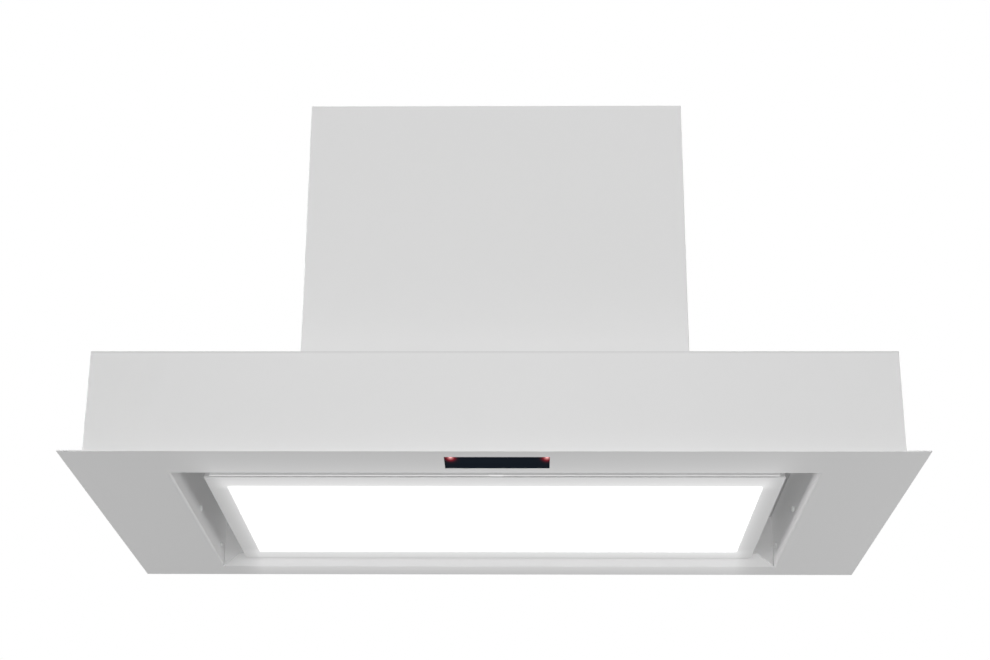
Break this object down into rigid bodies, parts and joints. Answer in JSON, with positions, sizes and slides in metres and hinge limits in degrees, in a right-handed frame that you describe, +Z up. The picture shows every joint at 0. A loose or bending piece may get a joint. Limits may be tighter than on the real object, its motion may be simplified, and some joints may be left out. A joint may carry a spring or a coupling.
{
  "type": "built-in range hood",
  "caption": "Built-in range hood: folded plate with a hinged glowing light panel in a suction gap, low casing, motor box with blower, round outlet with flaps.",
  "frame": {"origin": "centre of the bottom plate's underside, the lowest face", "axes": "+X to the right and +Y to the back as the cook sees it, +Z up along the outlet collar"},
  "size_m": [0.9, 0.51, 0.491],
  "materials": {
    "white_coat": "satin powder coat, near white",
    "galvanised": "zinc-coated sheet, matt",
    "aluminium": "mill finish",
    "filter_mesh": "expanded aluminium mesh",
    "black_glass": "dark tinted glass, gloss",
    "black_plastic": "fine texture",
    "grey_plastic": "moulded, satin",
    "white_plastic": "moulded, satin",
    "opal_acrylic": "opal diffuser, lit from behind",
    "clear_acrylic": "clear acrylic, polished edges, lit from its ends",
    "red_lens": "red, lit",
    "circuit_board": "solder mask",
    "rubber": "matt",
    "steel": "bright zinc",
    "magnet": "nickel-plated",
    "motor_paint": "satin black"
  },
  "bodies": {
    "root": {"bottom_plate": "white_coat", "cavity_ceiling": "white_coat", "casing_wrap": "white_coat", "casing_back": "white_coat", "casing_top": "white_coat", "motor_box_wrap": "white_coat", "motor_box_back": "white_coat", "motor_box_top": "white_coat", "outlet_adapter": "grey_plastic", "outlet_collar": "grey_plastic", "flap_spindle": "steel", "scroll_wrap": "galvanised", "scroll_side_left": "galvanised", "scroll_side_right": "galvanised", "motor": "motor_paint", "motor_bracket": "galvanised", "motor_grommets": "rubber", "capacitor": "aluminium", "control_glass": "black_glass", "indicator_lenses": "red_lens", "control_housing": "black_plastic", "control_board": "circuit_board", "led_driver": "white_plastic", "terminal_box": "white_plastic", "terminal_block": "white_plastic", "cable_gland": "black_plastic", "wall_spacers": "steel", "filter_rails": "galvanised", "filter_frame_left": "aluminium", "filter_frame_right": "aluminium", "filter_mesh_left": "filter_mesh", "filter_mesh_right": "filter_mesh", "hinge_brackets": "steel", "catch_brackets": "white_coat", "cavity_screws": "steel", "casing_screws": "steel", "motor_box_screws": "steel"},
    "light_panel": {"panel_frame": "white_coat", "panel_trim": "white_coat", "finger_tab": "white_coat", "light_diffuser": "opal_acrylic", "light_guide": "clear_acrylic", "light_reflector": "white_plastic", "led_bars": "aluminium", "panel_stiffeners": "galvanised", "panel_back": "aluminium", "hinge_clips": "steel", "hinge_pins": "steel", "catch_magnets": "magnet"},
    "impeller": {"impeller": "galvanised", "motor_shaft": "steel", "impeller_nut": "steel"},
    "flap_left": {"flap_left": "grey_plastic"},
    "flap_right": {"flap_right": "grey_plastic"},
    "latch_left": {"filter_latch_left": "black_plastic"},
    "latch_right": {"filter_latch_right": "black_plastic"}
  },
  "joints": [
    {"name": "light_panel_hinge", "type": "hinge", "parent": "root", "child": "light_panel", "pos_m": [0, 0.18, 0.012], "axis": [1, 0, 0], "range_deg": [0, 90]},
    {"name": "impeller_spin", "type": "hinge", "parent": "root", "child": "impeller", "pos_m": [0, 0.047, 0.241], "axis": [1, 0, 0], "continuous": true},
    {"name": "outlet_flap_left", "type": "hinge", "parent": "root", "child": "flap_left", "pos_m": [0, 0, 0.457], "axis": [0, 1, 0], "range_deg": [0, 75]},
    {"name": "outlet_flap_right", "type": "hinge", "parent": "root", "child": "flap_right", "pos_m": [0, 0, 0.457], "axis": [0, -1, 0], "range_deg": [0, 75]},
    {"name": "filter_latch_left", "type": "slide", "parent": "root", "child": "latch_left", "axis": [0, 1, 0], "range_m": [0, 0.005], "stiffness_N_per_m": 300, "springref_m": -0.005},
    {"name": "filter_latch_right", "type": "slide", "parent": "root", "child": "latch_right", "axis": [0, 1, 0], "range_m": [0, 0.005], "stiffness_N_per_m": 300, "springref_m": -0.005}
  ]
}
